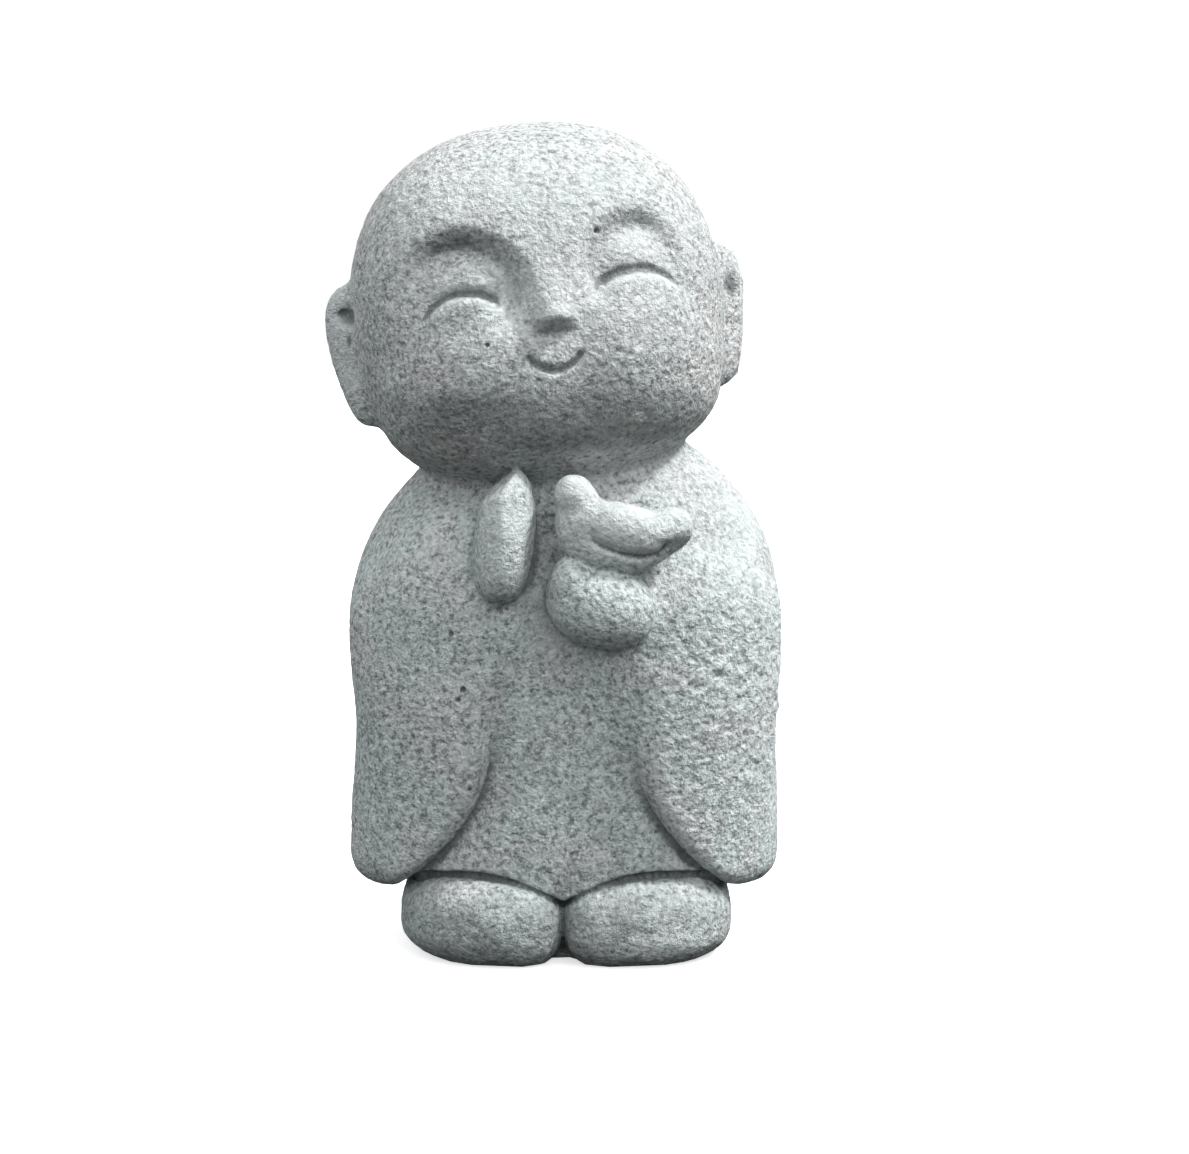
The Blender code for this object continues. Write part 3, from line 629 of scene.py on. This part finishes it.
def places(points, spots):
    """The sum of soft spots on the form, each strength * exp(-|(p - middle) / radii|^4)."""
    total = np.zeros(len(points))
    for middle, radii, strength in spots:
        away = np.linalg.norm((points - middle) / radii, axis=1)
        total += strength * np.exp(-(away**4))
    return total


def hills(points, *fields):
    """The sum of random fields, each its height * noise."""
    return sum(height * noise(points, size, seed) for height, size, seed in fields)


def relief(points):
    """How far the hammered skin stands over the smooth form: swellings, grain and lumps, less the pits and
    the holes, with more grain, lumps and large pits where the hammering is coarse."""
    coarse = places(points, COARSE_PLACES)
    grain = hills(points, *GRAINS) * (1.0 + COARSE_GRAIN * coarse)
    lumps = hills(points, LUMPS) * np.clip(coarse, 0.0, None)
    small, large = (depth * pits(points, *cells) for depth, *cells in (SMALL_PITS, LARGE_PITS))
    large = large * np.clip(coarse - LARGE_PITS_START, 0.0, None)
    return hills(points, *SWELLS) + grain + lumps - np.maximum(small, large) - places(points, DUG_PLACES)


# ---------------------------------------------------------------- the figure's mesh
def put_up(name, data):
    """A new object in the scene, with that mesh, lamp or camera."""
    made = bpy.data.objects.new(name, data)
    bpy.context.scene.collection.objects.link(made)
    return made


def points_of(mesh):
    """The mesh's vertices in millimetres."""
    flat = np.empty(len(mesh.vertices) * 3, np.float32)
    mesh.vertices.foreach_get("co", flat)
    return flat.reshape(-1, 3) / np.float32(MM)


def put_points(mesh, points):
    """Moves the mesh's vertices to those points in millimetres."""
    mesh.vertices.foreach_set("co", (points * MM).ravel())
    mesh.update()


def made_by_modifiers(piece):
    """Replaces the piece's mesh by what its modifiers make of it."""
    bpy.context.view_layer.update()
    graph = bpy.context.evaluated_depsgraph_get()
    made = bpy.data.meshes.new_from_object(piece.evaluated_get(graph))
    piece.modifiers.clear()
    piece.data = made


def fine_copy(node, name):
    """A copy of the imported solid, its corners merged, as an even skin of small squares."""
    shell = bmesh.new()
    shell.from_mesh(node.data)
    bmesh.ops.remove_doubles(shell, verts=shell.verts, dist=1e-6)
    mesh = bpy.data.meshes.new(name)
    shell.to_mesh(mesh)
    shell.free()
    piece = put_up(name, mesh)
    remesh = piece.modifiers.new("even skin", "REMESH")
    remesh.mode = "VOXEL"
    remesh.voxel_size = FINE_GRAIN * MM
    made_by_modifiers(piece)
    return piece


def sawn(points):
    """The stone above the ground: its own distance or the depth below z = 0, whichever is more."""
    return np.maximum(stone(points), -points[:, 2])


def distance_and_slope(points):
    """The sawn stone's distance at each point, and its gradient from a step along each axis."""
    here = sawn(points)
    steps = np.eye(3, dtype=np.float32) * SLOPE_STEP
    slope = np.stack([(sawn(points + step) - here) / SLOPE_STEP for step in steps], axis=1)
    return here[:, None], slope


def neighbour_mean(mesh):
    """A function that gives the mean of each vertex's neighbours: their sum over their count."""
    ends = np.empty(len(mesh.edges) * 2, int)
    mesh.edges.foreach_get("vertices", ends)
    tails, heads = ends.reshape(-1, 2).T
    both, others = np.concatenate([tails, heads]), np.concatenate([heads, tails])
    count = np.bincount(both)[:, None]

    def mean_of(values):
        sums = [np.bincount(both, column[others]) for column in values.T]
        return (np.stack(sums, axis=1) / count).astype(np.float32)

    return mean_of


def keep_values(mesh, name, values):
    """Keeps one number for each vertex."""
    mark = mesh.attributes.new(name, "FLOAT", "POINT")
    mark.data.foreach_set("value", values.astype(np.float32))


def carve(piece):
    """Moves every vertex down the slope onto the form by distance * slope / slope^2, evening the mesh out
    between the first passes, and then out or in along the slope by the hammered relief, which dies away at
    the sawn underside. It keeps how many millimetres each vertex lies below the mean of those round it,
    with the dug holes counted deeper, for painted shade and some dirt there, and the painted light and
    shade of listed places, with one real stain."""
    mesh = piece.data
    points = points_of(mesh)
    mean_of = neighbour_mean(mesh)
    for turn in range(CARVING_PASSES):
        distance, slope = distance_and_slope(points)
        steepness = np.clip((slope**2).sum(1, keepdims=True), GENTLEST_SLOPE, None)
        step = distance * slope / steepness
        longest = np.maximum(np.linalg.norm(step, axis=1, keepdims=True), LONGEST_STEP)
        points = points - step * LONGEST_STEP / longest
        if turn < CARVING_PASSES - LAST_PASSES:
            drift = mean_of(points) - points
            points = points + EVENING * (drift - (drift * slope).sum(1, keepdims=True) * slope / steepness)
    outward = slope / np.sqrt(steepness)
    height = relief(points) * smooth_step(points[:, 2], *GROUND_FADE)
    points = (points + outward * height[:, None]).astype(np.float32)
    around = points
    for _ in range(HOLLOW_PASSES):
        around = mean_of(around)
    hollow = ((around - points) * outward).sum(1)
    put_points(mesh, points)
    # The dug places also count as deeper hollows, so painted shade darkens them.
    keep_values(mesh, "hollow", hollow + places(points, DUG_PLACES))
    # Painted light and painted shade on listed places, with one real pale stain.
    weather = places(points, PAINTED_LIGHT_AND_STAIN_PLACES) * (1.0 + hills(points, PAINTED_LIGHT_BREAKUP))
    keep_values(mesh, "weather", weather)


def drop_flaps(mesh):
    """Takes away any two faces that lie back to back on their own: only two faces meet at their corners."""
    corners = np.empty(len(mesh.loops), np.int32)
    mesh.loops.foreach_get("vertex_index", corners)
    faces_round = np.bincount(corners, minlength=len(mesh.vertices))
    skin = bmesh.new()
    skin.from_mesh(mesh)
    skin.verts.ensure_lookup_table()
    flaps = [skin.verts[number] for number in np.flatnonzero(faces_round < 3).tolist()]
    bmesh.ops.delete(skin, geom=flaps, context="VERTS")
    skin.to_mesh(mesh)
    skin.free()


def thin(piece):
    """Takes faces away down to the most allowed, first on the back and the underside, then on the plain
    front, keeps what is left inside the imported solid's box and lays the underside flat."""
    points = points_of(piece.data)
    front = smooth_step(-points[:, 1], *FRONT_TURN) * smooth_step(points[:, 2], *FOOT_TURN)
    spare = 1.0 - front * (FRONT_KEPT + BUSY_KEPT * np.clip(places(points, BUSY_PLACES), 0.0, 1.0))
    group = piece.vertex_groups.new(name="spare")
    for level in range(SPARE_LEVELS):
        held = np.where(np.floor(spare * (SPARE_LEVELS - 1) + 0.5) == level)[0]
        group.add(held.tolist(), level / (SPARE_LEVELS - 1), "REPLACE")
    thinner = piece.modifiers.new("thin", "DECIMATE")
    thinner.ratio = MOST_TRIANGLES / (2 * len(piece.data.polygons))
    thinner.use_collapse_triangulate = True
    thinner.vertex_group = group.name
    thinner.vertex_group_factor = 1.0
    made_by_modifiers(piece)
    drop_flaps(piece.data)
    points = np.clip(points_of(piece.data), *(np.array(CAD_BOX, np.float32) / MM))
    points[points[:, 2] < GROUND_SNAP, 2] = 0.0
    put_points(piece.data, points)
    piece.vertex_groups.clear()


# ---------------------------------------------------------------- shader arithmetic
class Wire:
    """One output of a node. Arithmetic on it adds Math nodes to its tree."""

    def __init__(self, nodes, socket):
        self.nodes, self.socket = nodes, socket

    def math(self, operation, *values):
        """A Math node on those values."""
        return self.nodes.node("ShaderNodeMath", {"operation": operation}, dict(enumerate(values)))

    def __add__(self, other):
        return self.math("ADD", self, other)

    def __sub__(self, other):
        return self.math("SUBTRACT", self, other)

    def __rsub__(self, other):
        return self.math("SUBTRACT", other, self)

    def __mul__(self, other):
        return self.math("MULTIPLY", self, other)

    __radd__, __rmul__ = __add__, __mul__


class Nodes:
    """A node tree, whose nodes all come from one method."""

    def __init__(self, tree):
        self.tree = tree

    def node(self, kind, settings=None, inputs=None, output=0):
        """Adds a node: its settings first, among them a ramp's stops, then values or wires by socket."""
        made = self.tree.nodes.new(kind)
        for name, value in (settings or {}).items():
            if name == "stops":
                self.set_stops(made.color_ramp, value)
            else:
                setattr(made, name, value)
        for name, value in (inputs or {}).items():
            self.feed(made.inputs[name], value)
        return Wire(self, made.outputs[output])

    def feed(self, socket, value):
        """Links a wire to the socket, or sets its value."""
        if isinstance(value, Wire):
            self.tree.links.new(value.socket, socket)
        else:
            socket.default_value = value

    def set_stops(self, ramp, stops):
        """Gives a ramp its greys, each at its place."""
        while len(ramp.elements) < len(stops):
            ramp.elements.new(1.0)
        for element, (place, grey) in zip(ramp.elements, stops):
            element.position = place
            element.color = (grey, grey, grey, 1.0)


class Finish(Nodes):
    """A material and its node tree, around one Principled shader."""

    def __init__(self, name):
        self.material = bpy.data.materials.new(name)
        self.material.use_nodes = True
        super().__init__(self.material.node_tree)
        self.shader = self.tree.nodes["Principled BSDF"]

    def give(self, name, value):
        """Feeds one of the shader's own sockets."""
        self.feed(self.shader.inputs[name], value)

    def mix(self, factor, first, second, blend="MIX"):
        """A Mix node on colours."""
        settings = {"data_type": "RGBA", "blend_type": blend}
        return self.node("ShaderNodeMix", settings, {0: factor, 6: first, 7: second}, output=2)

    def between(self, value, low, high):
        """0 at low and 1 at high, with a soft start and end."""
        inputs = {"Value": value, "From Min": low, "From Max": high}
        return self.node("ShaderNodeMapRange", {"interpolation_type": "SMOOTHSTEP"}, inputs)

    def cloud(self, place, size, detail=2.0, output=0):
        """Noise with lumps of that size in millimetres."""
        inputs = {"Vector": place, "Scale": 1.0 / (size * MM), "Detail": detail, "Roughness": CLOUD_ROUGHNESS}
        return self.node("ShaderNodeTexNoise", None, inputs, output)

    def crystals(self, place, size):
        """A number from 0 to 1 for each grain of that size in millimetres."""
        inputs = {"Vector": place, "Scale": 1.0 / (size * MM)}
        colour = self.node("ShaderNodeTexVoronoi", None, inputs, "Color")
        return self.node("ShaderNodeSeparateColor", None, {"Color": colour})

    def noted(self, name):
        """The number that the mesh keeps under that name."""
        return self.node("ShaderNodeAttribute", {"attribute_name": name}, None, "Fac")


def granite():
    """Grey granite, bush-hammered: grains of quartz, feldspar and mica, each of one shade, over slow
    changes of tint, warmer upwards in part as painted light; painted shade with some dirt darkens hollows,
    a painted highlight with some wear pales ridges, listed places get painted light and shade, and a fine
    bump stands for the crushed skin of the grains."""
    rock = Finish("hammered granite")
    place = rock.node("ShaderNodeTexCoord", None, None, "Object")
    wobble = rock.cloud(place, WOBBLE_SIZE, 1.0, "Color")
    bend = {0: wobble, 1: (WOBBLE_REACH * MM,) * 3, 2: place}
    bent = rock.node("ShaderNodeVectorMath", {"operation": "MULTIPLY_ADD"}, bend)
    speck = rock.cloud(place, SPECK, 3.0)
    grain = rock.crystals(bent, GRAIN)
    fleck = rock.crystals(bent, FLECK)
    shade = rock.node("ShaderNodeValToRGB", {"stops": SPECK_SHADES}, {"Fac": speck})
    shade = shade * (grain * GRAIN_CONTRAST + (1.0 - GRAIN_CONTRAST / 2.0))
    mica = rock.between(fleck, *MICA_FLECKS)
    feldspar = rock.between(fleck, *FELDSPAR_FLECKS)

    hollow, weather = rock.noted("hollow"), rock.noted("weather")
    # Painted shade, with some dirt, in hollows and creases, and painted shade on listed places.
    shade_and_dirt_cover = rock.between(hollow, *HOLLOW_SHADE_DEPTHS) * SHADE_AND_DIRT_IN_HOLLOWS
    shade_and_dirt_cover = shade_and_dirt_cover + rock.between(weather, 0.0, -1.0) * PAINTED_SHADE_IN_PLACES
    # Painted highlight, with some wear, on ridges, and painted light on listed places with one real stain.
    light_and_wear_cover = rock.between(hollow, *RIDGE_HIGHLIGHT_DEPTHS) * HIGHLIGHT_AND_WEAR_ON_RIDGES + rock.between(weather, 0.0, 1.0)

    height = rock.node("ShaderNodeSeparateXYZ", None, {"Vector": place}, "Z")
    # Warmer upwards: partly the stone's tone, partly painted light, the cooler lower body standing for its
    # shade.
    warmth = rock.between(height, *(level * MM for level in WARM_HEIGHTS)) * WARM_WITH_HEIGHT
    warmth = warmth + rock.between(rock.cloud(place, WARM_CLOUD), *WARM_CLOUD_EDGES) * WARM_WITH_CLOUD
    tint = rock.mix(warmth, COOL_GREY, WARM_GREY)
    colour = rock.mix(1.0, tint, shade, "MULTIPLY")
    flecks = (mica * MICA_COVER, MICA), (feldspar * FELDSPAR_COVER, FELDSPAR)
    for cover, top in (*flecks, (light_and_wear_cover, PAINTED_LIGHT_AND_WEAR), (shade_and_dirt_cover, PAINTED_SHADE_AND_DIRT)):
        colour = rock.mix(cover, colour, top)
    rock.give("Base Color", colour)

    of_crushed, of_speck, of_grain, of_mica = SKIN_SHARES
    crushed = rock.cloud(place, CRUSHED, 3.0)
    skin = crushed * of_crushed + speck * of_speck + grain * of_grain - mica * of_mica
    bump = {"Strength": 1.0, "Distance": SKIN_DEPTH * MM, "Height": skin}
    rock.give("Normal", rock.node("ShaderNodeBump", None, bump, "Normal"))
    rock.give("Roughness", ROUGH - feldspar * FELDSPAR_GLINT - mica * MICA_GLINT)
    return rock.material


# ---------------------------------------------------------------- studio
def table_of(name, reach):
    """A level square on a grid of two parameters, which run from -reach to reach."""
    x, y = np.meshgrid(np.linspace(-reach, reach, 2), np.linspace(-reach, reach, 2), indexing="ij")
    points = np.stack([x, y, np.zeros_like(x)], -1).reshape(-1, 3)
    mesh = bpy.data.meshes.new(name)
    mesh.from_pydata(points.tolist(), [], [(0, 2, 3, 1)])
    return put_up(name, mesh)


def ball_of(name, radius):
    """A closed ball of small triangles round the studio, every corner at that radius."""
    ball = bmesh.new()
    bmesh.ops.create_icosphere(ball, subdivisions=4, radius=radius)
    mesh = bpy.data.meshes.new(name)
    ball.to_mesh(mesh)
    ball.free()
    return put_up(name, mesh)


def glowing(name, grey, glow):
    """Plain paper of that grey, which also gives off light of its own."""
    paper = Finish(name)
    paper.give("Base Color", (grey, grey, grey, 1.0))
    paper.give("Roughness", PAPER_ROUGHNESS)
    paper.give("Emission Color", WHITE)
    paper.give("Emission Strength", glow)
    return paper.material


def lamp(name, rise, turn, strength, softness):
    """A far lamp that shines down from a height and a turn to the right of the front, both in degrees."""
    light = bpy.data.lights.new(name, "SUN")
    light.energy = strength
    light.angle = math.radians(softness)
    rise, turn = math.radians(rise), math.radians(turn)
    towards = Vector((-math.cos(rise) * math.sin(turn), math.cos(rise) * math.cos(turn), -math.sin(rise)))
    put_up(name, light).rotation_euler = towards.to_track_quat("-Z", "Y").to_euler()


def studio():
    """A pale lit table and a white surround that shed no light on the figure, the lamps and the sky."""
    floor = table_of("floor", STUDIO_REACH)
    floor.data.materials.append(glowing("pale table", TABLE_GREY, TABLE_GLOW))
    surround = ball_of("surround", STUDIO_REACH)
    surround.data.materials.append(glowing("white surround", 0.0, 1.0))
    surround.visible_shadow = False
    for backdrop in (floor, surround):
        backdrop.visible_diffuse = backdrop.visible_glossy = False
    for settings in LAMPS:
        lamp(*settings)
    bpy.context.scene.world = sky()


def sky():
    """Fill light by the height of the direction it comes from: GROUND_FILL below, rising to SKY_FILL."""
    world = bpy.data.worlds.new("studio")
    world.use_nodes = True
    air = Nodes(world.node_tree)
    glow = air.tree.nodes["Background"]
    place = air.node("ShaderNodeTexCoord", None, None, "Generated")
    height = air.node("ShaderNodeSeparateXYZ", None, {"Vector": place}, "Z")
    ends = {"From Min": -SKY_BLEND, "From Max": SKY_BLEND, "To Min": GROUND_FILL, "To Max": SKY_FILL}
    air.feed(glow.inputs["Strength"], air.node("ShaderNodeMapRange", None, {"Value": height, **ends}))
    air.feed(glow.inputs["Color"], SKY_TINT)
    return world


def camera():
    """Looks at the middle of the view from in front of it, along a line that falls by the view's rise."""
    eye = bpy.data.cameras.new("camera")
    eye.lens, eye.sensor_width = LENS, SENSOR
    made = put_up("camera", eye)
    back = Vector((0.0, -math.cos(VIEW_RISE), math.sin(VIEW_RISE)))
    made.location = (Vector(VIEW_MIDDLE) + back * VIEW_DISTANCE) * MM
    made.rotation_euler = (math.pi / 2.0 - VIEW_RISE, 0.0, 0.0)
    bpy.context.scene.camera = made


camera()
studio()
bpy.context.scene.view_settings.view_transform = "Standard"

figure = fine_copy(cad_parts[NODE], PIECE)
carve(figure)
thin(figure)
figure.data.materials.clear()
figure.data.materials.append(granite())
figure.data.shade_smooth()
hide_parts(NODE)
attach(figure, "root")
